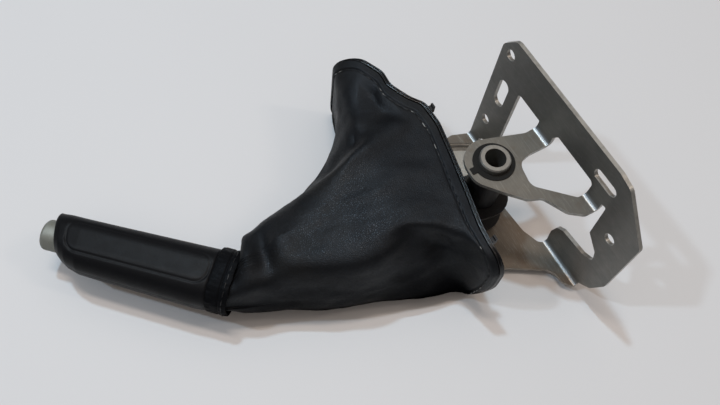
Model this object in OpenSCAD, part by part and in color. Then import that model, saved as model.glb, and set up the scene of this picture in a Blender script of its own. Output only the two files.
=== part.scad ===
// Parking brake lever with pressed steel bracket, moulded grip and leather boot.
// Lies on its side: Z is the lever's pivot axis, +X points out of the floor plate.
// All sizes are in millimetres.

/* [Bracket] */
// Thickness of the pressed sheet
sheet = 3; // [2.5:0.1:3.5]
// Clear distance between the two ears
ear_gap = 79; // [76:1:84]
// Distance from the pivot axis to the inner face of the floor plate
plate_x = 43.5; // [42:0.5:50]
// Inside radius of the bends
bend_r = 3.5; // [3:0.5:5]
// Height of the plate above the upper ear
plate_rise = 43.5; // [42:0.5:52]
// Diameter of the holes for the floor bolts
bolt_hole = 9; // [8:0.1:9.4]
// Radius of the ring around the upper pivot hole
ring_r = 20; // [19.5:0.25:22]
// Diameter of the pivot holes in the ears
ear_hole = 30; // [29:0.5:31]

/* [Pivot] */
// Outside diameter of the pivot tube
tube_od = 22; // [20:0.5:23]
// Bore of the pivot tube
tube_bore = 15; // [12:0.5:16]
// Length of tube standing out of each ear
tube_overhang = 5.5; // [4.5:0.5:8]
// Diameter of the spacers on the tube
spacer_od = 26; // [25:0.5:27]

/* [Ratchet] */
// Radius over the teeth
sector_r = 58; // [52:0.5:66]
// Thickness of the toothed plate
sector_t = 4; // [3:0.5:4.5]
// Number of teeth
tooth_count = 18; // [14:1:20]
// Depth of a tooth
tooth_depth = 3; // [2:0.25:4]

/* [Lever] */
// Height of the lever's middle plane
lever_z = -16; // [-17:0.5:-14]
// Length from the pivot to the back end of the grip
arm_length = 200.8; // [196:0.2:206]
// Direction of the arm
arm_angle = 171.75; // [168:0.25:174]
// Direction of the grip
grip_angle = 137.8; // [136:0.2:141]
// Sheet thickness of the arm's cheeks
cheek_t = 3; // [2.5:0.25:3.5]
// Outside diameter of the grip tube, which fills the gap between the cheeks
grip_tube_od = 20; // [19:0.5:21]
// Length of the grip
grip_length = 115; // [110:1:125]
// Depth of the grip at its back end
grip_depth = 43; // [41:0.5:46]
// Width of the grip at its back end
grip_width = 36; // [36:0.5:38]
// Diameter of the release button
button_d = 22; // [20:0.5:23]
// How far the button stands out of the grip
button_out = 10; // [9.5:0.5:12]

/* [Boot] */
// Length of the boot's frame
frame_length = 203; // [198:1:210]
// Thickness of the frame's edge strip
frame_t = 3; // [2.5:0.25:3.5]
// Width of the frame's edge strip
frame_w = 4.5; // [4:0.25:4.75]
// Thickness of the leather
leather = 1.5; // [1.2:0.1:1.8]

/* [Hidden] */
$fn = 48;

// Levels of the two ears and the bends
ear_in = ear_gap / 2;
ear_out = ear_in + sheet;
upper_bend_z = ear_out + bend_r;
lower_bend_z = bend_r - ear_in;
leg_x = plate_x - bend_r;
plate_top = ear_out + plate_rise;
floor_z = -ear_out - tube_overhang;
plate_front = 67;
plate_back = -101;

// Legs of the ears along the plate, from front to back
upper_front_leg = [11, -5];
upper_back_leg = [-48.5, -62];
lower_front_leg = [67, 55.5];
lower_back_leg = [-45, -86];

// Holes in the plate as [Y, Z]
front_hole_y = 57;
front_upper_z = plate_top - 15.2;
front_lower_z = -7;
back_hole = [-81.5, 32.5];
front_slot = [52, 32.5];
front_slot_size = [11, 27];
top_slot = [-55, plate_top - 18.7];
top_slot_size = [22, 9];

// Bushes
slip = 0.05;
bush_flange_r = ear_hole / 2 + 3;
bush_flange_t = 2;
bush_proud = 0.8;
key_angle = 180;
key_width = 5;
key_reach = 3.5;

// Ratchet plate and its rivets
sector_z = -ear_in;
sector_inner_r = bush_flange_r + 2.5;
sector_start = 52;
sector_end = 204;
tooth_pitch = 4;
tooth_start = 112;
rivet_r = 3;
rivet_head_r = 5;
rivet_head_t = 2;
rivet_circle = sector_r - 18;
rivet_angles = [75, 138, 184];
lower_ear_r = sector_r + 6;
bead_r = sector_r + 8;
bead_wire = 2;

// Lever arm
cheek_in = grip_tube_od / 2;
cheek_out = cheek_in + cheek_t;
pivot_half = 19.5;
web_end = arm_length - 50;
cable_pin_at = [-15.5, -9.5];
cable_pin_r = 3;
spacer_gap = 0.3;

// Grip
tube_wall = 2.5;
tube_back = -32;
tube_front = grip_length - 15;
spigot_length = 14;
spigot = [grip_depth / 2 - 2, grip_width / 2 - 2.2];
fit_gap = 0.1;
neck = [spigot[0] + fit_gap + leather, spigot[1] + fit_gap + leather];
strap_t = 1.9;
strap_length = 15;
button_r = button_d / 2;
button_back = tube_front + 9;
stem_r = grip_tube_od / 2 - tube_wall - 0.5;
stem_back = tube_front - 12;
rod_r = 2.5;
guide_x = stem_back - 28;
guide_t = 6;
rod_bend = -30;
rod_turn = 8;

// Pawl, in the arm's own axes
pawl_at = [sector_r + 18, 2];
pawl_z = sector_z + 0.6;
pawl_t = 3.2;
pawl_bore = 8.1;
pawl_collar_r = 5.5;
drive_pin_at = [sector_r + 33.5, 25.3];
drive_pin_r = 2.5;
pad_gap = 0.6;
pad_t = 2.5;

// Boot frame: its bow along Y and its outline
frame_mid_y = 35.5;
// [Y, X] of the strip's boot side along its length
bow_points = [
    [-68, -31], [-50, -32.5], [-33, -31], [-9, -25.5], [23, -19], [50, -14.2], [70, -15],
    [78, -22], [95, -30], [108, -29.5], [126, -38.5], [133, -46], [139, -55]
];
frame_top = ear_in - 8;
frame_half = [frame_length / 2 + 1, (frame_top - floor_z) / 2];
frame_mid_z = (frame_top + floor_z) / 2;
frame_corner = 18;
front_clip_in = 73;
rear_clip_in = 20;
sew_gap = 0.05;

function bow(y) = lookup(y, bow_points);
function turned(p, a) = [p[0] * cos(a) - p[1] * sin(a), p[0] * sin(a) + p[1] * cos(a)];
function arm_xy(p) = turned(p, arm_angle);
function grip_xy(p) = arm_xy([arm_length, 0]) + turned(p, grip_angle);
function polar(r, a) = [r * cos(a), r * sin(a)];
function unit(v) = v / norm(v);
function bend_side(a) = a > 180 ? a - 360 : a < -180 ? a + 360 : a;

// Corner of an outline given as [x, y, radius], replaced by a short arc
function corner(p, q, s, n = 6) =
    let(
        c = [q[0], q[1]],
        u = unit([p[0], p[1]] - c),
        v = unit([s[0], s[1]] - c),
        half = acos(min(1, max(-1, u * v))) / 2,
        centre = c + unit(u + v) * q[2] / sin(half),
        from = c + u * q[2] / tan(half) - centre,
        to = c + v * q[2] / tan(half) - centre,
        start = atan2(from[1], from[0]),
        sweep = bend_side(atan2(to[1], to[0]) - start)
    )
    q[2] <= 0 ? [c] : [for (k = [0:n]) centre + polar(q[2], start + sweep * k / n)];

function rounded(pts) =
    let(n = len(pts))
    [for (i = [0:n - 1]) each corner(pts[(i + n - 1) % n], pts[i], pts[(i + 1) % n])];

// Rounded rectangle as a closed run of points, with its long edges divided
function ring_outline(half, r, long = 24, short = 4, arc = 5) =
    let(h = half[0] - r, v = half[1] - r)
    concat(
        [for (k = [0:arc]) [h, v] + polar(r, 90 * k / arc)],
        [for (k = [1:long - 1]) [h - 2 * h * k / long, half[1]]],
        [for (k = [0:arc]) [-h, v] + polar(r, 90 + 90 * k / arc)],
        [for (k = [1:short - 1]) [-half[0], v - 2 * v * k / short]],
        [for (k = [0:arc]) [-h, -v] + polar(r, 180 + 90 * k / arc)],
        [for (k = [1:long - 1]) [2 * h * k / long - h, -half[1]]],
        [for (k = [0:arc]) [h, -v] + polar(r, 270 + 90 * k / arc)],
        [for (k = [1:short - 1]) [half[0], 2 * v * k / short - v]]
    );

// Closed skin over a list of rings, joined end to end
module skin(rings) {
    n = len(rings);
    m = len(rings[0]);
    polyhedron(
        points = [for (r = rings) each r],
        faces = [
            for (i = [0:n - 1], j = [0:m - 1])
                let(a = i * m + j, b = i * m + (j + 1) % m, i2 = (i + 1) % n)
                each [[a, i2 * m + j, b], [b, i2 * m + j, i2 * m + (j + 1) % m]]
        ],
        convexity = 6
    );
}

// Bar through a list of rings, closed at both ends
module swept(rings) {
    n = len(rings);
    m = len(rings[0]);
    polyhedron(
        points = [for (r = rings) each r],
        faces = concat(
            [
                for (i = [0:n - 2], j = [0:m - 1])
                    let(a = i * m + j, b = i * m + (j + 1) % m)
                    each [[a, b, a + m], [b, b + m, a + m]]
            ],
            [[for (j = [m - 1:-1:0]) j]],
            [[for (j = [0:m - 1]) (n - 1) * m + j]]
        ),
        convexity = 8
    );
}

// Section of a round wire at an angle round a bend
function wire_ring(turn_r, wire, a, z = 0, sides = 8) =
    [
        for (j = [0:sides - 1])
            let(b = 360 * j / sides, q = turn_r + wire * cos(b))
            [q * cos(a), q * sin(a), z + wire * sin(b)]
    ];

// Round wire wound into an open coil along Z
module coil(r, wire, pitch, turns) {
    steps = 20;
    swept([for (i = [0:turns * steps]) wire_ring(r, wire, 360 * i / steps, pitch * i / steps)]);
}

// Round bar between two points
module bar(p, q, r) {
    v = q - p;
    translate(p)
        rotate([0, acos(v[2] / norm(v)), atan2(v[1], v[0])])
            cylinder(r = r, h = norm(v));
}

module ring(outer, inner, h) {
    difference() {
        cylinder(r = outer, h = h);
        translate([0, 0, -1])
            cylinder(r = inner, h = h + 2);
    }
}

module in_arm() {
    translate([0, 0, lever_z])
        rotate([0, 0, arm_angle])
            children();
}

// Grip axes: X along the grip towards the button, Y towards the fingers
module in_grip() {
    translate([grip_xy([0, 0])[0], grip_xy([0, 0])[1], lever_z])
        rotate([0, 0, grip_angle])
            children();
}

// Draws a flat outline in the grip's cross section and pulls it along the grip
module along_grip(from, length) {
    translate([from, 0, 0])
        rotate([90, 0, 90])
            linear_extrude(length)
                children();
}

module bend(leg, z) {
    translate([leg_x, leg[0], z])
        rotate([90, 0, 0])
            linear_extrude(leg[0] - leg[1])
                intersection() {
                    difference() {
                        circle(bend_r + sheet);
                        circle(bend_r);
                    }
                    translate([0, -bend_r - sheet])
                        square(bend_r + sheet);
                }
}

module plate() {
    up = upper_bend_z;
    low = lower_bend_z;
    translate([plate_x, 0, 0])
        rotate([90, 0, 90])
            linear_extrude(sheet)
                polygon(rounded([
                    [plate_front, low, 0], [plate_front, plate_top - 13, 8],
                    [plate_front - 11, plate_top, 8], [plate_back + 41, plate_top, 10],
                    [plate_back + 30, plate_top - 2.5, 8], [plate_back, up + 6, 5],
                    [plate_back - 0.5, low + 27, 3], [lower_back_leg[1] - 9, low + 9, 8],
                    [lower_back_leg[1], low, 0], [lower_back_leg[0], low, 0],
                    [-44, low + 12, 2], [-46.3, low + 21.7, 4], [-52, low + 26, 4],
                    [-74, low + 29, 4], [-83, low + 34, 5], [-80, low + 44, 5],
                    [-67.9, low + 54, 2], [-66, up + 5, 1.2],
                    [upper_back_leg[1], up + 4, 0.8], [upper_back_leg[1], up, 0],
                    [upper_back_leg[0], up, 0], [upper_back_leg[0], up + 10.7, 4],
                    [-8.5, up + 10.7, 2],
                    [upper_front_leg[1], up + 5, 2], [upper_front_leg[1], up, 0],
                    [upper_front_leg[0], up, 0], [upper_front_leg[0], up + 4.5, 1],
                    [36.8, up + 4.5, 3], [36.8, low + 22, 8],
                    [lower_front_leg[1], low + 3, 2], [lower_front_leg[1], low, 0]
                ]));
}

module upper_ear() {
    translate([0, 0, ear_in])
        linear_extrude(sheet)
            polygon(rounded([
                [leg_x, upper_front_leg[0], 0], [34, upper_front_leg[0] - 0.6, 12],
                [0, ring_r, 12], [-ring_r, ring_r, ring_r - 2], [-ring_r, -ring_r / 2.4, 14],
                [-6, -24, 12], [5, -35, 8], [15, -38.5, 6], [24, -55, 8],
                [34, upper_back_leg[1], 6], [leg_x, upper_back_leg[1], 0],
                [leg_x, upper_back_leg[0], 0], [37, upper_back_leg[0], 3],
                [13, -27, 8], [16, -8, 9], [27, upper_front_leg[1] - 0.4, 6],
                [leg_x, upper_front_leg[1], 0]
            ]));
}

module lower_ear() {
    translate([0, 0, -ear_out])
        linear_extrude(sheet)
            polygon(concat(
                rounded([
                    [leg_x, lower_back_leg[1], 0], [leg_x, lower_back_leg[0], 0],
                    [37, -43, 4], [32, -30, 12], [29.5, -3, 20], [30, 22, 10],
                    [37, 48, 8], [leg_x, lower_front_leg[1], 0],
                    [leg_x, lower_front_leg[0], 0], [27, 71, 8],
                    [14, lower_ear_r + 4, 8], [0, lower_ear_r, 0]
                ]),
                [for (a = [98:8:202]) polar(lower_ear_r, a)],
                [[-40, -40], [4, -51.5], [30, -66], [34, -72], [35, -80]]
            ));
    translate([0, 0, -ear_in])
        rotate([0, 0, 55])
            rotate_extrude(angle = 18)
                translate([bead_r, 0])
                    circle(bead_wire, $fn = 24);
}

module key(gap) {
    rotate([0, 0, key_angle])
        translate([ear_hole / 2 - 1, -key_width / 2 - gap, 0])
            cube([key_reach + 1 + gap, key_width + 2 * gap, sheet + bush_proud]);
}

module plate_hole(y, z) {
    translate([plate_x - 1, y, z])
        rotate([0, 90, 0])
            cylinder(d = bolt_hole, h = sheet + 2);
}

// Long hole with its size given along Y and Z
module plate_slot(at, size) {
    r = min(size[0], size[1]) / 2;
    translate([plate_x - 1, at[0], at[1]])
        rotate([90, 0, 90])
            linear_extrude(sheet + 2)
                polygon(rounded([
                    [size[0] / 2, size[1] / 2, r * 0.99],
                    [-size[0] / 2, size[1] / 2, r * 0.99],
                    [-size[0] / 2, -size[1] / 2, r * 0.99],
                    [size[0] / 2, -size[1] / 2, r * 0.99]
                ]));
}

// Pressed steel bracket: floor plate with two ears bent out of it
module mounting_bracket() {
    color([0.42, 0.42, 0.4])
        difference() {
            union() {
                plate();
                upper_ear();
                lower_ear();
                bend(upper_front_leg, upper_bend_z);
                bend(upper_back_leg, upper_bend_z);
                bend(lower_front_leg, lower_bend_z);
                bend(lower_back_leg, lower_bend_z);
            }
            for (z = [ear_in - 1, -ear_out - 1])
                translate([0, 0, z])
                    cylinder(d = ear_hole, h = sheet + 2);
            for (z = [ear_in - 0.4, -ear_out - 0.4])
                translate([0, 0, z])
                    key(slip);
            plate_hole(front_hole_y, front_upper_z);
            plate_hole(front_hole_y, front_lower_z);
            plate_hole(back_hole[0], back_hole[1]);
            plate_slot(front_slot, front_slot_size);
            plate_slot(top_slot, top_slot_size);
            for (a = rivet_angles)
                translate([polar(rivet_circle, a)[0], polar(rivet_circle, a)[1], -ear_out - 1])
                    cylinder(r = rivet_r, h = sheet + 2);
        }
}

// Flanged plastic bush, drawn from the inner face of its ear outwards
module bush() {
    difference() {
        union() {
            cylinder(r = ear_hole / 2 - slip, h = sheet + bush_proud);
            translate([0, 0, -bush_flange_t])
                cylinder(r = bush_flange_r, h = bush_flange_t);
            key(0);
        }
        translate([0, 0, -bush_flange_t - 1])
            cylinder(r = tube_od / 2 + slip, h = bush_flange_t + sheet + bush_proud + 2);
    }
}

module upper_bush() {
    color([0.16, 0.16, 0.17])
        translate([0, 0, ear_in])
            bush();
}

module lower_bush() {
    color([0.16, 0.16, 0.17])
        translate([0, 0, -ear_in])
            mirror([0, 0, 1])
                bush();
}

// Toothed plate riveted to the lower ear
module ratchet_sector() {
    tooth_end = tooth_start + tooth_count * tooth_pitch;
    color([0.62, 0.62, 0.6])
        translate([0, 0, sector_z])
            difference() {
                linear_extrude(sector_t)
                    polygon(concat(
                        [for (a = [sector_start:4:tooth_start - 4]) polar(sector_r, a)],
                        [
                            for (k = [0:tooth_count - 1])
                                each [
                                    polar(sector_r, tooth_start + k * tooth_pitch),
                                    polar(sector_r - tooth_depth, tooth_start + (k + 0.15) * tooth_pitch)
                                ]
                        ],
                        [for (a = [tooth_end:4:sector_end]) polar(sector_r, a)],
                        [for (a = [sector_end:-8:sector_start]) polar(sector_inner_r, a)]
                    ));
                for (a = rivet_angles)
                    translate([polar(rivet_circle, a)[0], polar(rivet_circle, a)[1], -1])
                        cylinder(r = rivet_r, h = sector_t + 2);
            }
}

module rivet(a) {
    color([0.55, 0.55, 0.54])
        translate([polar(rivet_circle, a)[0], polar(rivet_circle, a)[1], 0]) {
            translate([0, 0, -ear_out - rivet_head_t])
                cylinder(r1 = rivet_head_r - 1.2, r2 = rivet_head_r, h = rivet_head_t);
            translate([0, 0, -ear_out])
                cylinder(r = rivet_r, h = sheet + sector_t);
            translate([0, 0, sector_z + sector_t])
                cylinder(r1 = rivet_head_r, r2 = rivet_head_r - 1.2, h = rivet_head_t);
        }
}

module front_rivet() rivet(rivet_angles[0]);

module middle_rivet() rivet(rivet_angles[1]);

module back_rivet() rivet(rivet_angles[2]);

// One run of points round the frame, offset inwards and pushed along X
function frame_ring(inset, push) =
    [
        for (p = ring_outline([frame_half[0] - inset, frame_half[1] - inset], frame_corner - inset))
            [bow(p[0] + frame_mid_y) + push, p[0] + frame_mid_y, p[1] + frame_mid_z]
    ];

// Plastic edge strip that the console holds
module boot_frame() {
    color([0.07, 0.07, 0.075])
        skin([
            frame_ring(0, 0), frame_ring(0, frame_t),
            frame_ring(frame_w, frame_t), frame_ring(frame_w, 0)
        ]);
}

// Small hook on the room side of the frame's upper edge
module frame_clip(y) {
    wide = 4;
    color([0.07, 0.07, 0.075])
        translate([max(bow(y - wide / 2), bow(y + wide / 2)) + frame_t, y - wide / 2, 0]) {
            translate([0, 0, frame_top - frame_w])
                cube([3.5, wide, frame_w]);
            translate([2, 0, frame_top - frame_w])
                cube([1.5, wide, frame_w + 2]);
        }
}

module front_frame_clip() frame_clip(frame_mid_y + frame_length / 2 - front_clip_in);

module rear_frame_clip() frame_clip(frame_mid_y - frame_length / 2 + rear_clip_in);

// Boot sections from the frame to the neck:
// [X, Y, direction of the section, half depth, half height, Z, corner radius,
//  ridge before the middle, crease below the middle]
boot_sections = [
    [-72, 22, 92, 70, 38.5, -9.5, 26, 36, 22.5],
    [-102, 16, 91, 53, 36, -12, 30, 36.5, 20],
    [-131, 14, 89, 42, 32.5, -13.5, 28, 26.5, 18],
    [-160, 18.5, 84, 33, 28.5, -15, 26, 15, 13],
    [-180, 20, 68, 25.5, 23, lever_z, 22, 16, 14]
];
// Share of the way from the frame to the first section where the side panel starts
shoulder = 0.3;

function section_outline(s, inset) = ring_outline([s[3] - inset, s[4] - inset], s[6] - inset);
function section_place(s, p) = [s[0] + p[0] * cos(s[2]), s[1] + p[0] * sin(s[2]), s[5] + p[1]];

// Point of a section, moved back onto the slanted side panel where it lies beyond it;
// the panel falls from the ridge on top to the crease near the bottom
function trimmed(s, p, inset) =
    let(
        ridge = [-s[7], s[4]],
        crease = [-s[3], -s[8]],
        out = unit([crease[1] - ridge[1], ridge[0] - crease[0]]),
        reach = out * ridge - inset,
        beyond = out * p
    )
    beyond > reach ? p * reach / beyond : p;

function boot_ring(s, inset) = [for (p = section_outline(s, inset)) section_place(s, trimmed(s, p, inset))];

function shoulder_ring(from, s, inset) =
    let(to = [for (p = section_outline(s, inset)) section_place(s, p)])
    [for (i = [0:len(from) - 1]) from[i] * (1 - shoulder) + to[i] * shoulder];

function neck_ring(x, inset) =
    let(
        at = grip_xy([x, 0]),
        outline = ring_outline([neck[0] - inset, neck[1] - inset], neck[1] - inset - 1)
    )
    [
        for (p = outline)
            [at[0] - p[0] * cos(grip_angle + 90), at[1] - p[0] * sin(grip_angle + 90), lever_z + p[1]]
    ];

function boot_wall(inset) =
    let(edge = frame_ring(frame_w / 2 - leather / 2 + inset, -sew_gap))
    concat(
        [edge, shoulder_ring(edge, boot_sections[0], inset)],
        [for (s = boot_sections) boot_ring(s, inset)],
        [neck_ring(-spigot_length, inset), neck_ring(-1, inset)]
    );

function backwards(list) = [for (i = [len(list) - 1:-1:0]) list[i]];

// Leather boot from the frame to the cuff
module boot() {
    color([0.05, 0.05, 0.06])
        skin(concat(backwards(boot_wall(0)), boot_wall(leather)));
}

module pivot_tube() {
    half = ear_out + tube_overhang;
    outer = tube_od / 2;
    inner = tube_bore / 2;
    chamfer = 0.8;
    color([0.6, 0.6, 0.58])
        rotate_extrude()
            polygon([
                [inner, -half], [outer - chamfer, -half], [outer, chamfer - half],
                [outer, half - chamfer], [outer - chamfer, half], [inner, half]
            ]);
}

module upper_spacer() {
    bottom = lever_z + cheek_out;
    color([0.06, 0.06, 0.065])
        translate([0, 0, bottom])
            ring(spacer_od / 2, tube_od / 2, ear_in - bush_flange_t - spacer_gap - bottom);
}

module lower_spacer() {
    bottom = bush_flange_t + spacer_gap - ear_in;
    color([0.06, 0.06, 0.065])
        translate([0, 0, bottom])
            ring(spacer_od / 2, tube_od / 2, lever_z - cheek_out - bottom);
}

module cheek() {
    linear_extrude(cheek_t)
        polygon(rounded([
            [-23, -pivot_half, 9], [arm_length - 22, -3.5, 3],
            [arm_length - 5.6, 21, 5], [-20, pivot_half + 0.5, 18]
        ]));
}

// Front edge of the cheeks at a distance along the arm
function web_edge(x) = -pivot_half + 0.1 + (pivot_half - 3.5) * (x + 23) / (arm_length + 1);

// Channel-shaped lever arm: two cheeks joined by a web along the front edge
module lever_arm() {
    color([0.07, 0.07, 0.075])
        in_arm()
            difference() {
                union() {
                    translate([0, 0, cheek_in])
                        cheek();
                    translate([0, 0, -cheek_out])
                        cheek();
                    translate([0, 0, -cheek_in])
                        linear_extrude(2 * cheek_in)
                            polygon([
                                [30, web_edge(30)], [web_end, web_edge(web_end)],
                                [web_end, web_edge(web_end) + cheek_t], [30, web_edge(30) + cheek_t]
                            ]);
                }
                translate([0, 0, -cheek_out - 1])
                    cylinder(d = tube_od, h = 2 * cheek_out + 2);
                translate([cable_pin_at[0], cable_pin_at[1], -cheek_out - 1])
                    cylinder(r = cable_pin_r, h = 2 * cheek_out + 2);
                translate([pawl_at[0], pawl_at[1], -cheek_out - 1])
                    cylinder(d = pawl_bore - 2 * slip, h = cheek_t + 2);
            }
}

module grip_tube() {
    color([0.3, 0.3, 0.3])
        in_grip()
            translate([tube_back, 0, 0])
                rotate([0, 90, 0])
                    ring(grip_tube_od / 2, grip_tube_od / 2 - tube_wall, tube_front - tube_back);
}

module grip_slab(x, half, drop, r) {
    along_grip(x, 1)
        translate([drop, 0])
            polygon(ring_outline(half, r, 1, 1, 6));
}

// Moulded grip with a spigot for the boot's neck
module grip() {
    color([0.05, 0.05, 0.055])
        in_grip()
            difference() {
                union() {
                    hull() {
                        grip_slab(0, [grip_depth / 2, grip_width / 2], 1.2, grip_width / 2 - 3);
                        grip_slab(12, [grip_depth / 2, grip_width / 2], 1.6, grip_width / 2 - 2);
                        grip_slab(grip_length - 19, [19, 16.5], 2, 14);
                        grip_slab(grip_length - 6, [17, 15], 0.2, 13);
                        grip_slab(grip_length - 1, [14.4, 12.8], -1.6, 12);
                    }
                    along_grip(-spigot_length, spigot_length)
                        polygon(ring_outline(spigot, spigot[1] - 1));
                }
                translate([-spigot_length - 1, 0, 0])
                    rotate([0, 90, 0])
                        cylinder(d = grip_tube_od, h = grip_length);
                translate([tube_front, 0, 0])
                    rotate([0, 90, 0])
                        cylinder(r = button_r + 0.3, h = grip_length);
            }
}

// Band that clamps the boot's neck on the grip
module cuff_strap() {
    inside = [neck[0] + fit_gap, neck[1] + fit_gap];
    color([0.06, 0.06, 0.065])
        in_grip()
            along_grip(-strap_length, strap_length)
                difference() {
                    polygon(ring_outline([inside[0] + strap_t, inside[1] + strap_t], inside[1] + strap_t - 1));
                    polygon(ring_outline(inside, inside[1] - 1));
                }
}

module rod_guide() {
    color([0.75, 0.74, 0.7])
        in_grip()
            translate([guide_x, 0, 0])
                rotate([0, 90, 0])
                    ring(grip_tube_od / 2 - tube_wall, rod_r + 0.2, guide_t);
}

module pawl_pin() {
    journal_r = pawl_bore / 2 - slip;
    cheek_face = lever_z - cheek_out;
    color([0.6, 0.6, 0.58])
        in_arm()
            translate([pawl_at[0], pawl_at[1], -lever_z]) {
                translate([0, 0, pawl_z - 2])
                    cylinder(r = journal_r, h = cheek_face + cheek_t - pawl_z + 2);
                translate([0, 0, pawl_z + pawl_t + 0.2])
                    cylinder(r = pawl_collar_r, h = cheek_face - pawl_z - pawl_t - 0.2);
                translate([0, 0, cheek_face + cheek_t])
                    cylinder(r = pawl_collar_r, h = 2);
            }
}

module pawl_clip() {
    color([0.6, 0.6, 0.58])
        in_arm()
            translate([pawl_at[0], pawl_at[1], pawl_z - 1.4 - lever_z])
                ring(6.5, pawl_bore / 2 - slip, 1.2);
}

// Torsion spring round the collar of the pawl pin
module pawl_spring() {
    wire = 0.6;
    gap = lever_z - cheek_out - pawl_z - pawl_t;
    color([0.62, 0.62, 0.6])
        in_arm()
            translate([pawl_at[0], pawl_at[1], pawl_z + pawl_t + wire + 0.4 - lever_z])
                coil(pawl_collar_r + wire + 0.1, wire, (gap - 2 * wire - 0.7) / 3, 3);
}

module cable_pin() {
    color([0.6, 0.6, 0.58])
        in_arm()
            translate([cable_pin_at[0], cable_pin_at[1], 0]) {
                translate([0, 0, -cheek_out - 3])
                    cylinder(r = cable_pin_r, h = 2 * cheek_out + 3);
                translate([0, 0, cheek_out])
                    cylinder(r = cable_pin_r + 1.5, h = 2.5);
            }
}

module cable_clip() {
    color([0.6, 0.6, 0.58])
        in_arm()
            translate([cable_pin_at[0], cable_pin_at[1], -cheek_out - 1.2])
                ring(cable_pin_r + 2, cable_pin_r, 1.2);
}

// Return spring of the button, between the guide and the stem
module button_spring() {
    wire = 0.8;
    free = stem_back - guide_x - guide_t - 2 * wire;
    color([0.62, 0.62, 0.6])
        in_grip()
            translate([guide_x + guide_t + wire, 0, 0])
                rotate([0, 90, 0])
                    coil(stem_r - wire - 0.2, wire, free / 6, 6);
}

module release_button() {
    edge = 3;
    front = grip_length + button_out;
    color([0.62, 0.62, 0.58])
        in_grip()
            rotate([0, 90, 0])
                rotate_extrude()
                    polygon(concat(
                        [[0, stem_back], [stem_r, stem_back], [stem_r, button_back], [button_r, button_back]],
                        [for (k = [0:6]) [button_r - edge, front - edge] + polar(edge, 15 * k)],
                        [[0, front]]
                    ));
}

// Bent rod that carries the button's stroke down to the pawl
module release_rod() {
    steps = 6;
    push = -polar(1, grip_angle);
    pad = arm_xy(drive_pin_at) - push * (drive_pin_r + pad_gap);
    back = pad - push * pad_t;
    tail = pad - push * pad_t / 2;
    knee = grip_xy([rod_bend, 0]);
    to_pad = unit(tail - knee);
    half = acos(-push * to_pad) / 2;
    leg = rod_turn / tan(half);
    elbow = knee + unit(to_pad - push) * rod_turn / sin(half);
    start = grip_angle + 90;
    sweep = 180 - 2 * half;
    to_stem = -push * (stem_back - rod_bend - leg);
    to_tail = to_pad * (norm(tail - knee) - leg);
    rings = [for (k = [0:steps]) wire_ring(rod_turn, rod_r, start + sweep * k / steps, 0, 24)];
    color([0.5, 0.5, 0.5]) {
        translate([elbow[0], elbow[1], lever_z])
            swept(concat(
                [[for (p = rings[0]) p + [to_stem[0], to_stem[1], 0]]],
                rings,
                [[for (p = rings[steps]) p + [to_tail[0], to_tail[1], 0]]]
            ));
        bar([back[0], back[1], lever_z], [pad[0], pad[1], lever_z], rod_r + 2);
    }
}

// Pawl with the pin that the release rod pushes
module pawl() {
    color([0.5, 0.5, 0.48])
        in_arm()
            translate([0, 0, pawl_z - lever_z])
                difference() {
                    union() {
                        translate([sector_r, 0, 0])
                            linear_extrude(pawl_t)
                                polygon(rounded([
                                    [-1, -13.6, 0.4], [2, -18.5, 2], [26, -8, 8], [40.5, 22, 6],
                                    [35, 32, 5], [26.5, 27.5, 5], [10, 11, 8], [0.6, -9.8, 1]
                                ]));
                        translate([drive_pin_at[0], drive_pin_at[1], 0])
                            cylinder(r = drive_pin_r, h = lever_z + 5 - pawl_z);
                    }
                    translate([pawl_at[0], pawl_at[1], -1])
                        cylinder(d = pawl_bore, h = pawl_t + 2);
                }
}

mounting_bracket();
upper_bush();
lower_bush();
ratchet_sector();
front_rivet();
middle_rivet();
back_rivet();
boot_frame();
front_frame_clip();
rear_frame_clip();
boot();
pivot_tube();
upper_spacer();
lower_spacer();
lever_arm();
grip_tube();
grip();
cuff_strap();
rod_guide();
pawl_pin();
pawl_clip();
pawl_spring();
cable_pin();
cable_clip();
button_spring();
release_button();
release_rod();
pawl();
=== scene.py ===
"""Looks of a parking brake lever: leather boot, moulded grip and worn steel bracket.

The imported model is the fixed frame. Its hard parts get worn metal and plastic
finishes; the boot, rim, cuff, grip and button are built here in their place.
Lengths are millimetres in the part's own axes, unless a comment says metres.
"""

import logging
import math
from dataclasses import dataclass
from enum import Enum
from functools import cache
from typing import NamedTuple, Optional, Sequence, Union

import bpy
import numpy as np
from mathutils import Matrix, Vector, noise

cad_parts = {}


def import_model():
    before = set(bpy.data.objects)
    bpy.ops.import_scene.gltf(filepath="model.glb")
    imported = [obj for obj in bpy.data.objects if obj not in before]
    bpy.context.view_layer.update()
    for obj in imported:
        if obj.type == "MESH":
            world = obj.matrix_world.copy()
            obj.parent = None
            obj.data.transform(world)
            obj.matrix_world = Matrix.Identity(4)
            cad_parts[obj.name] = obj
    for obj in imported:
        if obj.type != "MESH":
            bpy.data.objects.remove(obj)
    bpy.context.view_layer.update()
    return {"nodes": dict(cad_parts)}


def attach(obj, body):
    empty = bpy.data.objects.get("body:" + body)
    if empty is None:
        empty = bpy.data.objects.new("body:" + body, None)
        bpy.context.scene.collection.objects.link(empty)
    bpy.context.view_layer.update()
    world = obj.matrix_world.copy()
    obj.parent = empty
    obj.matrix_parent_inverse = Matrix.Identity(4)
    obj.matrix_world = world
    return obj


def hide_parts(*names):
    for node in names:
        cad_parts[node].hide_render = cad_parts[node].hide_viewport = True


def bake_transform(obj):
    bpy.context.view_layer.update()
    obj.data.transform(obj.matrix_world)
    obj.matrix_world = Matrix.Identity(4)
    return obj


LOG = logging.getLogger("brake_lever")
MM = 0.001
Colour = tuple[float, float, float]
Point = tuple[float, float, float]
Socket = bpy.types.NodeSocket
Value = Union[Socket, float, tuple]


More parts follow.
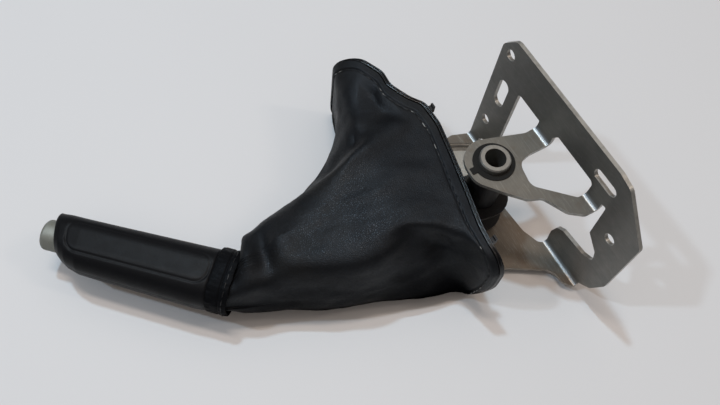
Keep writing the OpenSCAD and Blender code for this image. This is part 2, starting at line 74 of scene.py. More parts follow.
class Body(Enum):
    """Rigid bodies that new pieces ride on."""

    BRACKET = "bracket"
    LEVER = "lever"
    BUTTON = "button"


class Slot(Enum):
    """Names of material slots of the record."""

    LEATHER = "boot_leather"
    STRAP = "strap_leather"
    FRAME = "frame_plastic"
    GRIP = "grip_plastic"
    BUTTON = "button_metal"


# ---------------------------------------------------------------- small maths


def smooth(low: float, high: float, x: np.ndarray) -> np.ndarray:
    """Smooth step from 0 at low to 1 at high."""
    t = np.clip((x - low) / (high - low), 0.0, 1.0)
    return t * t * (3.0 - 2.0 * t)


def bell(x: np.ndarray, width: float) -> np.ndarray:
    """Bell curve of the given half width, 1 at the middle."""
    return np.exp(-((x / width) ** 2))


def unit(v: np.ndarray) -> np.ndarray:
    """Vectors scaled to length 1 along the last axis."""
    return v / np.maximum(np.linalg.norm(v, axis=-1, keepdims=True), 1e-12)


def round_angles(count: int) -> np.ndarray:
    """Even directions round a circle, in radians."""
    return np.linspace(0, 2 * math.pi, count, endpoint=False)


def on_circle(angles: np.ndarray) -> np.ndarray:
    """Points of the unit circle at given angles, shaped (n, 2)."""
    return np.column_stack([np.cos(angles), np.sin(angles)])


def stood_at(x: Union[float, np.ndarray], flat: np.ndarray) -> np.ndarray:
    """A flat outline stood across the grip at a place along it, shaped (n, 3)."""
    return np.column_stack([np.broadcast_to(x, len(flat)), flat])


def along_line(xy: np.ndarray, line: Sequence[Sequence[float]]) -> tuple[np.ndarray, np.ndarray]:
    """Where points lie beside a bent line.

    Args:
        xy: Points, with X and Y on the last axis.
        line: Corners of the line.

    Returns:
        The signed distance, positive on the right of the line's direction, and
        the place along the line from 0 to 1.
    """
    pts = np.asarray(line, float)
    steps = np.diff(pts, axis=0)
    lengths = np.linalg.norm(steps, axis=1)
    starts = np.concatenate([[0.0], np.cumsum(lengths)])
    best = np.full(xy.shape[:-1], 1e9)
    side = np.zeros_like(best)
    place = np.zeros_like(best)
    for i, step in enumerate(steps):
        rel = xy - pts[i]
        t = np.clip((rel @ step) / lengths[i] ** 2, 0.0, 1.0)
        dist = np.linalg.norm(rel - t[..., None] * step, axis=-1)
        near = dist < best
        cross = step[0] * rel[..., 1] - step[1] * rel[..., 0]
        side = np.where(near, -np.sign(cross), side)
        place = np.where(near, (starts[i] + t * lengths[i]) / starts[-1], place)
        best = np.minimum(best, dist)
    return best * side, place


def field_noise(points: np.ndarray, scale: float, seed: float, octaves: int = 2) -> np.ndarray:
    """Smooth noise at points.

    Args:
        points: Points in millimetres.
        scale: Size of a lump in millimetres.
        seed: Shift that picks another pattern.
        octaves: Levels of finer lumps.

    Returns:
        Values from about -1 to 1, one for each point.
    """
    flat = points.reshape(-1, 3) / scale + seed
    out = np.array([noise.fractal(Vector(p), 1.0, 2.0, octaves) for p in flat])
    return out.reshape(points.shape[:-1])


def soften(grid: np.ndarray, times: int) -> np.ndarray:
    """Moves each value on a tube of rows towards its neighbours, a number of times."""
    for _ in range(times):
        ends = np.concatenate([grid[:1], grid, grid[-1:]])
        around = np.roll(grid, 1, axis=1) + np.roll(grid, -1, axis=1)
        grid = (2.0 * grid + around + ends[:-2] + ends[2:]) / 6.0
    return grid


def spline_rows(rows: np.ndarray, near: float, step: tuple[float, float]) -> np.ndarray:
    """Rows of points drawn through a few control rows on smooth curves.

    Args:
        rows: Control rows, shaped (rows, points, 3).
        near: Length at the start that gets close rows.
        step: Distance between rows there and beyond.

    Returns:
        The new rows, shaped (count, points, 3).
    """
    gaps = np.linalg.norm(np.diff(rows, axis=0), axis=2).mean(axis=1)
    at = np.concatenate([[0.0], np.cumsum(gaps)])
    slant = np.diff(rows, axis=0) / gaps[:, None, None]
    before, after = gaps[:-1, None, None], gaps[1:, None, None]
    inner = (slant[:-1] * after + slant[1:] * before) / (before + after)
    slope = np.concatenate([slant[:1], inner, slant[-1:]])
    close = np.arange(0.0, near, step[0])
    wide = np.linspace(near, at[-1], int((at[-1] - near) / step[1]) + 1)
    out = []
    for s in np.concatenate([close, wide]):
        i = min(int(np.searchsorted(at, s, side="right")) - 1, len(rows) - 2)
        h = gaps[i]
        t = (s - at[i]) / h
        out.append(
            (2 * t**3 - 3 * t**2 + 1) * rows[i]
            + (t**3 - 2 * t**2 + t) * h * slope[i]
            + (3 * t**2 - 2 * t**3) * rows[i + 1]
            + (t**3 - t**2) * h * slope[i + 1]
        )
    return np.array(out)


def round_box(half: Sequence[float], r: float, counts: Sequence[int]) -> np.ndarray:
    """Outline of a rectangle with round corners, counter-clockwise.

    Args:
        half: Half sizes along the two axes.
        r: Corner radius.
        counts: Points on each arc, each long edge and each short edge.

    Returns:
        Points shaped (n, 2).
    """
    arc, long, short = counts
    h, v = half[0] - r, half[1] - r
    corners = np.array([(h, v), (-h, v), (-h, -v), (h, -v)])
    runs = []
    for i, corner in enumerate(corners):
        angles = np.radians(90 * i + 90 * np.arange(arc) / (arc - 1))
        bend = corner + r * on_circle(angles)
        n = long if i % 2 == 0 else short
        way = corners[(i + 1) % 4] - corner
        runs += [bend, bend[-1] + way * (np.arange(1, n) / n)[:, None]]
    return np.concatenate(runs)


def outline_at(angles: np.ndarray, half: Sequence[float], r: float) -> np.ndarray:
    """Rectangle with round corners, as points at given angles.

    Args:
        angles: Directions in radians.
        half: Half sizes along the two axes.
        r: Corner radius.

    Returns:
        Points shaped (n, 2).
    """
    r = min(r, half[0], half[1])
    c, s = np.abs(np.cos(angles)), np.abs(np.sin(angles))
    h, v = half[0] - r, half[1] - r
    reach = np.minimum(half[0] / np.maximum(c, 1e-9), half[1] / np.maximum(s, 1e-9))
    in_corner = (reach * c > h) & (reach * s > v)
    dot = h * c + v * s
    root = np.sqrt(np.maximum(dot**2 - (h * h + v * v - r * r), 0.0))
    return on_circle(angles) * np.where(in_corner, dot + root, reach)[:, None]


def row_normals(rows: np.ndarray) -> np.ndarray:
    """Unit normals of a tube of rows, outward where rows run counter-clockwise."""
    around = np.roll(rows, -1, axis=1) - np.roll(rows, 1, axis=1)
    return unit(np.cross(around, np.gradient(rows, axis=0)))


# ---------------------------------------------------------------- meshes


def link_new(name: str, data: Optional[bpy.types.ID]) -> bpy.types.Object:
    """A new object in the scene, at the origin."""
    obj = bpy.data.objects.new(name, data)
    bpy.context.scene.collection.objects.link(obj)
    return obj


def mesh_piece(
    name: str, points: np.ndarray, faces: Sequence[Sequence[int]], finish: bpy.types.Material
) -> bpy.types.Object:
    """Makes a smooth-shaded object from points in millimetres.

    Args:
        name: Name of the object.
        points: Corner points, with X, Y and Z on the last axis.
        faces: Corner numbers of each face.
        finish: Material of the piece.

    Returns:
        The new object, at the origin with its place in its mesh.
    """
    mesh = bpy.data.meshes.new(name)
    mesh.from_pydata((points.reshape(-1, 3) * MM).tolist(), [], [list(f) for f in faces])
    mesh.polygons.foreach_set("use_smooth", [True] * len(mesh.polygons))
    mesh.materials.append(finish)
    mesh.update()
    return link_new(name, mesh)


def skin_faces(rows: np.ndarray, loop: bool = False, capped: bool = False) -> list[tuple[int, ...]]:
    """Faces of a tube of rows, facing out of it where rows run counter-clockwise.

    Args:
        rows: Points shaped (rows, points, 3).
        loop: True where the last row joins the first.
        capped: True to close both ends.

    Returns:
        The corner numbers of each face.
    """
    count, points = rows.shape[:2]
    out: list[tuple[int, ...]] = []
    for i in range(count if loop else count - 1):
        n = (i + 1) % count
        for j in range(points):
            k = (j + 1) % points
            out.append((i * points + j, i * points + k, n * points + k, n * points + j))
    if capped:
        out.append(tuple(range(points))[::-1])
        out.append(tuple(range((count - 1) * points, count * points)))
    return out


def plain_mesh(obj: bpy.types.Object) -> bpy.types.Mesh:
    """What an object's modifiers make of it, as a mesh of its own."""
    bpy.context.view_layer.update()
    graph = bpy.context.evaluated_depsgraph_get()
    return bpy.data.meshes.new_from_object(obj.evaluated_get(graph), depsgraph=graph)


def thicken(obj: bpy.types.Object, thickness: float) -> bpy.types.Object:
    """Gives a skin that faces outwards a wall on its inner side."""
    wall = obj.modifiers.new("wall", "SOLIDIFY")
    wall.thickness = thickness * MM
    wall.offset = -1.0
    wall.use_rim = True
    done = plain_mesh(obj)
    obj.modifiers.clear()
    obj.data = done
    return obj


# ---------------------------------------------------------------- node trees


class Bench:
    """Adds nodes to one tree and wires them."""

    def __init__(self, tree: bpy.types.NodeTree) -> None:
        """Keeps the tree that the nodes go into."""
        self.tree = tree

    def add(self, kind: str, **settings: object) -> bpy.types.Node:
        """Adds a node of Blender's type of that name and sets its properties."""
        node = self.tree.nodes.new(kind)
        for name, value in settings.items():
            setattr(node, name, value)
        return node

    def put(self, socket: Socket, value: Value) -> None:
        """Links an output to an input, or sets the input to a plain value."""
        if isinstance(value, bpy.types.NodeSocket):
            self.tree.links.new(value, socket)
        elif isinstance(value, tuple) and socket.type == "RGBA":
            socket.default_value = (*value[:3], 1.0)
        else:
            socket.default_value = value

    def set(self, node: bpy.types.Node, **inputs: Value) -> bpy.types.Node:
        """Links or sets inputs of a node, by name with _ for a space, and returns it."""
        for name, value in inputs.items():
            self.put(node.inputs[name.replace("_", " ")], value)
        return node

    def math(self, operation: str, a: Value, b: Value = 0.0, clamp: bool = False) -> Socket:
        """Adds a Math node.

        Args:
            operation: Name of the operation.
            a: First value.
            b: Second value.
            clamp: True to keep the result from 0 to 1.

        Returns:
            The result.
        """
        node = self.add("ShaderNodeMath", operation=operation, use_clamp=clamp)
        self.put(node.inputs[0], a)
        self.put(node.inputs[1], b)
        return node.outputs[0]

    def plus(self, a: Value, b: Value) -> Socket:
        """Sum of two values."""
        return self.math("ADD", a, b)

    def times(self, first: Value, *others: Value) -> Value:
        """Product of values."""
        for other in others:
            first = self.math("MULTIPLY", first, other)
        return first

    def one_minus(self, a: Value) -> Socket:
        """What is left of 1."""
        return self.math("SUBTRACT", 1.0, a)

    def mix(self, share: Value, a: Value, b: Value) -> Socket:
        """Mixes two colours.

        Args:
            share: Share of the second colour.
            a: First colour.
            b: Second colour.

        Returns:
            The mixed colour.
        """
        node = self.add("ShaderNodeMix", data_type="RGBA")
        for index, value in ((0, share), (6, a), (7, b)):
            self.put(node.inputs[index], value)
        return node.outputs[2]

    def noise(self, at: Value, scale: Value, detail: float = 2.0, rough: float = 0.5) -> bpy.types.NodeOutputs:
        """Adds a noise texture.

        Args:
            at: Coordinates.
            scale: Lumps in a metre.
            detail: Levels of finer lumps.
            rough: Strength of the finer levels.

        Returns:
            The node's outputs.
        """
        node = self.add("ShaderNodeTexNoise")
        return self.set(node, Vector=at, Scale=scale, Detail=detail, Roughness=rough).outputs

    def ramp(self, value: Value, low: float, high: float) -> Socket:
        """Maps a value onto 0 at low to 1 at high, easing in and out."""
        node = self.add("ShaderNodeMapRange", interpolation_type="SMOOTHSTEP")
        return self.set(node, Value=value, From_Min=low, From_Max=high).outputs["Result"]

    def split(self, vector: Value) -> tuple[Socket, Socket, Socket]:
        """The three values of a vector."""
        node = self.add("ShaderNodeSeparateXYZ")
        self.put(node.inputs[0], vector)
        return node.outputs[0], node.outputs[1], node.outputs[2]


class Effects:
    """Shader groups that several finishes share, each built once."""

    @staticmethod
    def _start(
        name: str, outputs: Sequence[str], **inputs: float
    ) -> tuple[Bench, bpy.types.NodeOutputs, bpy.types.Node]:
        """Starts a group with named sockets.

        Args:
            name: Name of the group.
            outputs: Names of the value outputs.
            **inputs: Value inputs beside Vector, with their defaults.

        Returns:
            A bench on the group, what it is given and its output node.
        """
        tree = bpy.data.node_groups.new(name, "ShaderNodeTree")
        tree.interface.new_socket(name="Vector", in_out="INPUT", socket_type="NodeSocketVector")
        for label, default in inputs.items():
            sock = tree.interface.new_socket(name=label, in_out="INPUT", socket_type="NodeSocketFloat")
            sock.default_value = default
        for label in outputs:
            tree.interface.new_socket(name=label, in_out="OUTPUT", socket_type="NodeSocketFloat")
        bench = Bench(tree)
        return bench, bench.add("NodeGroupInput").outputs, bench.add("NodeGroupOutput")

    @staticmethod
    @cache
    def grain() -> bpy.types.NodeTree:
        """Leather grain: pebbles with creases between them, as a height."""
        b, given, out = Effects._start("grain", ["Height", "Crease"], Cells=900.0)
        at, cells = given["Vector"], given["Cells"]
        bend = b.add("ShaderNodeVectorMath", operation="MULTIPLY_ADD")
        for socket, value in zip(bend.inputs, (b.noise(at, cells)["Color"], (0.5 * MM,) * 3, at)):
            b.put(socket, value)
        pebbles = b.add("ShaderNodeTexVoronoi", feature="DISTANCE_TO_EDGE")
        b.set(pebbles, Vector=bend.outputs[0], Scale=cells)
        pebble = b.ramp(pebbles.outputs["Distance"], 0.0, 0.28)
        fine = b.noise(at, b.times(cells, 2.3))["Fac"]
        b.set(out, Height=b.plus(pebble, b.times(fine, 0.35)), Crease=b.one_minus(pebble))
        return b.tree

    @staticmethod
    @cache
    def stain() -> bpy.types.NodeTree:
        """Patches with soft ragged edges."""
        b, given, out = Effects._start("stain", ["Mask"], Patches=40.0, Cover=0.5, Softness=0.1)
        cloud = b.noise(given["Vector"], given["Patches"], 6.0, 0.62)["Fac"]
        over = b.math("SUBTRACT", cloud, b.one_minus(given["Cover"]))
        b.set(out, Mask=b.math("DIVIDE", over, given["Softness"], clamp=True))
        return b.tree

    @staticmethod
    @cache
    def scratches() -> bpy.types.NodeTree:
        """Fine scratches in two crossing directions."""
        b, given, out = Effects._start("scratches", ["Mask"], Density=500.0, Width=0.02)
        masks = []
        for turn in ((0.7, 0.2, 0.5), (-0.5, 0.4, -0.8)):
            lay = b.add("ShaderNodeMapping")
            b.set(lay, Vector=given["Vector"], Rotation=turn, Scale=(1.0, 0.05, 1.0))
            streak = b.noise(lay.outputs["Vector"], given["Density"], 1.0)["Fac"]
            off = b.math("ABSOLUTE", b.math("SUBTRACT", streak, 0.5))
            masks.append(b.one_minus(b.math("DIVIDE", off, given["Width"], clamp=True)))
        b.set(out, Mask=b.math("MAXIMUM", *masks))
        return b.tree


class Shader:
    """A material being wired: its bench, coordinates and Principled shader."""

    def __init__(self, name: str) -> None:
        """Starts a material of that name."""
        self.material = bpy.data.materials.new(name)
        self.material.use_nodes = True
        tree = self.material.node_tree
        tree.nodes.clear()
        self.bench = Bench(tree)
        self.bsdf = self.bench.add("ShaderNodeBsdfPrincipled")
        out = self.bench.add("ShaderNodeOutputMaterial")
        tree.links.new(self.bsdf.outputs["BSDF"], out.inputs["Surface"])
        self.at = self.bench.add("ShaderNodeTexCoord").outputs["Object"]

    def set(self, **inputs: Value) -> None:
        """Sets or links inputs of the shader, by name with _ for a space."""
        self.bench.set(self.bsdf, **inputs)

    def lumps(self, size: float, detail: float = 3.0, rough: float = 0.5) -> Socket:
        """Noise from 0 to 1 on the piece, with lumps of a size in millimetres."""
        return self.bench.noise(self.at, 1.0 / (size * MM), detail, rough)["Fac"]

    def effect(self, tree: bpy.types.NodeTree, **inputs: Value) -> bpy.types.NodeOutputs:
        """Places a shared group on the piece and returns its outputs."""
        node = self.bench.add("ShaderNodeGroup", node_tree=tree)
        return self.bench.set(node, Vector=self.at, **inputs).outputs

    def bump(self, height: Value, depth: float, under: Optional[Socket] = None) -> Socket:
        """Adds a bump.

        Args:
            height: Height from 0 to 1.
            depth: What height 1 stands for, in millimetres.
            under: A bump below this one.

        Returns:
            The new normal, also linked to the shader.
        """
        node = self.bench.set(self.bench.add("ShaderNodeBump"), Strength=1.0, Distance=depth * MM, Height=height)
        if under is not None:
            self.bench.set(node, Normal=under)
        self.set(Normal=node.outputs["Normal"])
        return node.outputs["Normal"]

    def place(self) -> tuple[Socket, Socket, Socket]:
        """Object coordinates as three values, in metres."""
        return self.bench.split(self.at)

    def facing(self) -> tuple[Socket, Socket, Socket]:
        """The face's own direction as three values without sign."""
        shape = self.bench.add("ShaderNodeNewGeometry")
        turn = self.bench.add("ShaderNodeVectorMath", operation="ABSOLUTE")
        self.bench.put(turn.inputs[0], shape.outputs["True Normal"])
        return self.bench.split(turn.outputs[0])


# ---------------------------------------------------------------- finishes


@dataclass(frozen=True)
class Leather:
    """Black leather with pebbled grain, rubbed paler in patches, its gloss cut low down as a painted shade."""

    name: str
    roughness: float = 0.38
    cell: float = 1.2
    depth: float = 0.09
    gloss: float = 0.24
    pucker: float = 0.12
    # heights in millimetres where the gloss is gone and where it is full: a painted shade towards the table
    dull: tuple[float, float] = (-30.0, 2.0)
    colour: Colour = (0.0045, 0.0047, 0.0056)
    rubbed: Colour = (0.0090, 0.0091, 0.0100)
    creased: Colour = (0.0012, 0.0012, 0.0014)
    warmed: Colour = (0.0125, 0.0112, 0.0090)
    sheen: Colour = (0.80, 0.89, 1.0)

    def material(self) -> bpy.types.Material:
        """The finish as a material."""
        s = Shader(self.name)
        b = s.bench
        # the gloss fades out towards the bottom, a painted shade
        low, high = self.dull
        gloss_outside_painted_shade = b.ramp(s.place()[2], low * MM, high * MM)
        grain = s.effect(Effects.grain(), Cells=1.0 / (self.cell * MM))
        wear = s.effect(Effects.stain(), Patches=34.0, Cover=0.52, Softness=0.35)
        tone = b.mix(wear["Mask"], self.colour, self.rubbed)
        tone = b.mix(b.times(grain["Crease"], 0.5), tone, self.creased)
        warm = b.ramp(s.lumps(60.0, 2.0), 0.45, 0.75)
        tone = b.mix(b.times(warm, 0.5), tone, self.warmed)
        patchy = b.plus(0.55, b.times(s.lumps(22.0, 4.0, 0.55), 0.9))
        s.set(Base_Color=tone, Specular_IOR_Level=b.times(gloss_outside_painted_shade, patchy, self.gloss), Specular_Tint=self.sheen)
        rough = b.plus(b.times(s.lumps(14.0, 4.0), 0.16), self.roughness - 0.08)
        s.set(Roughness=b.plus(rough, b.times(grain["Crease"], 0.18)))
        pulled = s.bump(s.lumps(5.0, 3.0, 0.55), self.pucker)
        s.bump(grain["Height"], self.depth, pulled)
        return s.material


@dataclass(frozen=True)
class Moulding:
    """Moulded plastic with a fine grain and scuffs."""

    name: str
    colour: Colour
    scuffed: Colour
    roughness: float = 0.45
    specular: float = 0.4
    cell: float = 0.7
    depth: float = 0.03
    scuffs: float = 0.35

    def material(self) -> bpy.types.Material:
        """The finish as a material."""
        s = Shader(self.name)
        b = s.bench
        grain = s.effect(Effects.grain(), Cells=1.0 / (self.cell * MM))
        wear = s.effect(Effects.stain(), Patches=90.0, Cover=self.scuffs, Softness=0.3)
        lines = s.effect(Effects.scratches(), Density=420.0, Width=0.012)
        rub = b.math("MAXIMUM", wear["Mask"], b.times(lines["Mask"], 0.3))
        s.set(Base_Color=b.mix(rub, self.colour, self.scuffed), Specular_IOR_Level=self.specular)
        s.set(Roughness=b.plus(b.times(s.lumps(8.0, 4.0), 0.2), self.roughness - 0.1))
        s.bump(grain["Height"], self.depth)
        return s.material


@dataclass(frozen=True)
class Metal:
    """Bare or plated steel with uneven tone, stains and scratches."""

    name: str
    colour: Colour
    stained: Colour
    roughness: float = 0.42
    metallic: float = 0.85
    cover: float = 0.45
    patch: float = 16.0
    scratched: float = 0.5

    def material(self) -> bpy.types.Material:
        """The finish as a material."""
        s = Shader(self.name)
        b = s.bench
        stain = s.effect(Effects.stain(), Patches=1.0 / (self.patch * MM), Cover=self.cover, Softness=0.25)
        lines = s.effect(Effects.scratches(), Density=700.0, Width=0.02)
        tone = b.mix(stain["Mask"], self.colour, self.stained)
        bright = tuple(min(1.0, 1.7 * c) for c in self.colour)
        tone = b.mix(b.times(lines["Mask"], self.scratched * 0.5), tone, bright)
        rough = b.plus(b.times(s.lumps(3.0, 5.0, 0.65), 0.3), self.roughness - 0.15)
        rough = b.plus(rough, b.times(stain["Mask"], 0.15))
        s.set(Base_Color=tone, Roughness=rough, Metallic=self.metallic)
        s.bump(s.lumps(0.9, 4.0, 0.6), 0.02)
        return s.material


@dataclass(frozen=True)
class BracketSteel:
    """The bracket's steel: floor plate, ears stained low down, pale edges partly as a painted highlight, and a
    painted highlight on the bends.
    """

    name: str = "bracket_steel_worn"
    plate: Colour = (0.228, 0.220, 0.202)
    ear: Colour = (0.170, 0.158, 0.136)
    # pale bare steel of scratches and cut edges; on the edges it also serves as a painted highlight
    edge: Colour = (0.44, 0.43, 0.40)
    rust: Colour = (0.115, 0.078, 0.048)
    tarnish: Colour = (0.15, 0.112, 0.08)
    cloudy: Colour = (0.10, 0.10, 0.095)
    # painted highlight colour of the bends
    bend: Colour = (0.25, 0.265, 0.28)
    metallic: float = 0.6
    # where the ears end and the plate starts, where bends start and end, and where stains start and are full
    plate_x: tuple[float, float] = (39.0, 43.0)
    bend_x: tuple[float, float, float, float] = (36.5, 39.5, 42.5, 45.0)
    stain_z: tuple[float, float] = (-20.0, -36.0)

    def material(self) -> bpy.types.Material:
        """The finish as a material."""
        s = Shader(self.name)
        b = s.bench
        x, _, z = s.place()
        nx, _, nz = s.facing()
        on_plate = b.ramp(x, *(v * MM for v in self.plate_x))
        low = b.ramp(z, *(v * MM for v in self.stain_z))
        off_plate = b.one_minus(b.times(on_plate, 0.75))
        tone = b.mix(on_plate, self.ear, self.plate)
        dirt = s.effect(Effects.stain(), Patches=55.0, Cover=0.47, Softness=0.2)
        grime = b.times(dirt["Mask"], b.plus(0.55, b.times(low, 0.4)))
        tone = b.mix(b.times(grime, off_plate), tone, self.rust)
        tone = b.mix(b.times(low, 0.45, off_plate), tone, self.tarnish)
        cloud = b.ramp(s.lumps(12.0, 5.0, 0.6), 0.3, 0.75)
        tone = b.mix(b.times(cloud, 0.35), tone, self.cloudy)
        lines = s.effect(Effects.scratches(), Density=620.0, Width=0.018)
        tone = b.mix(b.times(lines["Mask"], 0.22), tone, self.edge)
        # thickness faces get the pale edge colour: worn bare steel and a painted highlight in one
        flat = b.math("MAXIMUM", b.times(nx, on_plate), b.times(nz, off_plate))
        rim = b.one_minus(b.ramp(flat, 0.55, 0.93))
        worn = b.ramp(s.lumps(4.0, 4.0, 0.6), 0.3, 0.62)
        tone = b.mix(b.times(rim, b.plus(0.35, b.times(worn, 0.5))), tone, self.edge)
        # a painted highlight on the slanted faces of the bends
        start, full, fade, end = (v * MM for v in self.bend_x)
        bend_highlight_zone = b.times(b.ramp(x, start, full), b.ramp(x, end, fade))
        slanted = b.times(b.ramp(nx, 0.15, 0.4), b.ramp(nz, 0.15, 0.4))
        tone = b.mix(b.times(bend_highlight_zone, slanted, 0.8), tone, self.bend)
        rough = b.plus(b.times(s.lumps(2.5, 5.0, 0.65), 0.3), 0.30)
        rough = b.math("SUBTRACT", rough, b.times(rim, 0.08))
        s.set(Base_Color=tone, Roughness=rough, Metallic=self.metallic)
        s.bump(s.lumps(1.1, 4.0, 0.6), 0.03)
        return s.material


@dataclass(frozen=True)
class Thread:
    """Waxed sewing thread, dark, with painted glints of pale colour in spots."""

    name: str = "sewing_thread"
    colour: Colour = (0.006, 0.006, 0.007)
    # pale colour of the painted glints
    glint_tone: Colour = (0.34, 0.34, 0.33)

    def material(self) -> bpy.types.Material:
        """The finish as a material."""
        s = Shader(self.name)
        # the pale spots that this mask picks are painted glints on the thread
        worn = s.bench.ramp(s.lumps(13.0, 3.0), 0.55, 0.61)
        s.set(Base_Color=s.bench.mix(worn, self.colour, self.glint_tone), Roughness=0.45)
        s.bump(s.lumps(0.4, 2.0), 0.05)
        return s.material


@dataclass(frozen=True)
class Table:
    """Table top, pale to the eye and in mirrors, dim in the light it throws back."""

    name: str = "table_top"
    colour: Colour = (0.668, 0.669, 0.680)
    dim: Colour = (0.17, 0.17, 0.175)

    def material(self) -> bpy.types.Material:
        """The finish as a material."""
        s = Shader(self.name)
        b = s.bench
        rays = b.add("ShaderNodeLightPath").outputs
        mirrored = b.math("MAXIMUM", rays["Is Glossy Ray"], rays["Is Transmission Ray"])
        seen = b.math("MAXIMUM", rays["Is Camera Ray"], mirrored)
        paler = tuple(min(1.0, 1.03 * c) for c in self.colour)
        tone = b.mix(s.lumps(260.0, 3.0), self.colour, paler)
        s.set(Base_Color=b.mix(seen, self.dim, tone), Roughness=0.55, Specular_IOR_Level=0.2)
        return s.material


# ---------------------------------------------------------------- boot and rim


@dataclass(frozen=True)
class LeverAxes:
    """Places on the lever, in the part's own axes."""

    height: float = -16.0
    grip_origin: tuple[float, float] = (-198.72, 28.81)
    grip_angle: float = 137.8

    def from_grip(self, local: np.ndarray) -> np.ndarray:
        """Points in grip axes (along it to the button, across to the fingers, up) in part axes."""
        a = math.radians(self.grip_angle)
        axes = np.array([[math.cos(a), math.sin(a), 0.0], [-math.sin(a), math.cos(a), 0.0], [0.0, 0.0, 1.0]])
        return np.array([*self.grip_origin, self.height]) + local @ axes


@dataclass
class Rim:
    """Edge strip of the boot, bowed along the console's opening."""

    length: float = 203.0
    mid_y: float = 35.5
    top: float = 31.5
    bottom: float = -48.0
    corner: float = 18.0
    width: float = 4.5
    thickness: float = 3.0
    # how far the lower corner is drawn in, and the Y where that starts and is full
    tuck: float = 9.0
    tuck_y: tuple[float, float] = (-25.0, -60.0)
    # Y and X of the strip's boot side along its length
    bow_points: tuple[tuple[float, float], ...] = (
        (-68, -31), (-50, -32.5), (-33, -31), (-9, -25.5), (23, -19), (50, -14.2), (70, -15),
        (78, -22), (95, -30), (108, -29.5), (126, -38.5), (133, -46), (139, -55),
    )
    counts: tuple[int, int, int] = (13, 60, 22)

    def bow(self, y: np.ndarray) -> np.ndarray:
        """X of the strip's boot side at a place along it."""
        table = np.array(self.bow_points, float)
        spread = np.linspace(-3.0, 3.0, 7)
        return np.mean([np.interp(y + d, table[:, 0], table[:, 1]) for d in spread], axis=0)

    def ring(self, inset: float, push: float) -> np.ndarray:
        """A run of points round the strip.

        Args:
            inset: Distance inside the strip's outer edge.
            push: Distance along X from the strip's boot side.

        Returns:
            Points shaped (n, 3).
        """
        half = (self.length / 2 + 1 - inset, (self.top - self.bottom) / 2 - inset)
        flat = round_box(half, max(self.corner - inset, 1.0), self.counts)
        y = flat[:, 0] + self.mid_y
        z = flat[:, 1] + (self.top + self.bottom) / 2
        y = y + self.tuck * smooth(0.0, self.bottom, z) * smooth(*self.tuck_y, y)
        return np.stack([self.bow(y) + push, y, z], axis=1)

    def build(self, finish: bpy.types.Material) -> bpy.types.Object:
        """The plastic strip with its groove and lip, in a material."""
        w, t = self.width, self.thickness
        profile = [
            (0.5, 0.0), (0.1, 0.3), (0.0, 1.0), (0.7, 1.3), (0.7, 1.8), (-0.3, 2.0), (-0.5, 2.4),
            (-0.3, t), (0.4, t + 0.2), (w - 0.4, t + 0.2), (w, t - 0.2), (w, 0.4), (w - 0.4, 0.0),
        ]
        rows = np.array([self.ring(a, p) for a, p in profile])
        return mesh_piece("rim_strip", rows, [f[::-1] for f in skin_faces(rows, loop=True)], finish)


@dataclass
class Fold:
    """One fold of the leather along a line over the top of the boot."""

    line: tuple[tuple[float, float], ...]
    lift: float
    width: float
    drop: float = 0.0
    reach: float = 14.0
    rise: float = 0.75

    def height(self, xy: np.ndarray) -> np.ndarray:
        """Lift along the line less the drop on its right, over points in part axes."""
        side, place = along_line(xy, self.line)
        ends = smooth(0.0, 0.12, place) * smooth(0.0, 0.12, 1.0 - place)
        ridge = self.lift * bell(side, self.width)
        back_up = 1.0 - self.rise * smooth(2.0, 4.0, side / self.reach)
        return (ridge - self.drop * smooth(0.0, self.reach, side) * back_up) * ends


class Section(NamedTuple):
    """Section of the boot: middle, direction of its depth in degrees, half sizes, ridge and crease."""

    x: float
    y: float
    turn: float
    depth: float
    height: float
    z: float
    corner: float
    ridge: float
    crease: float


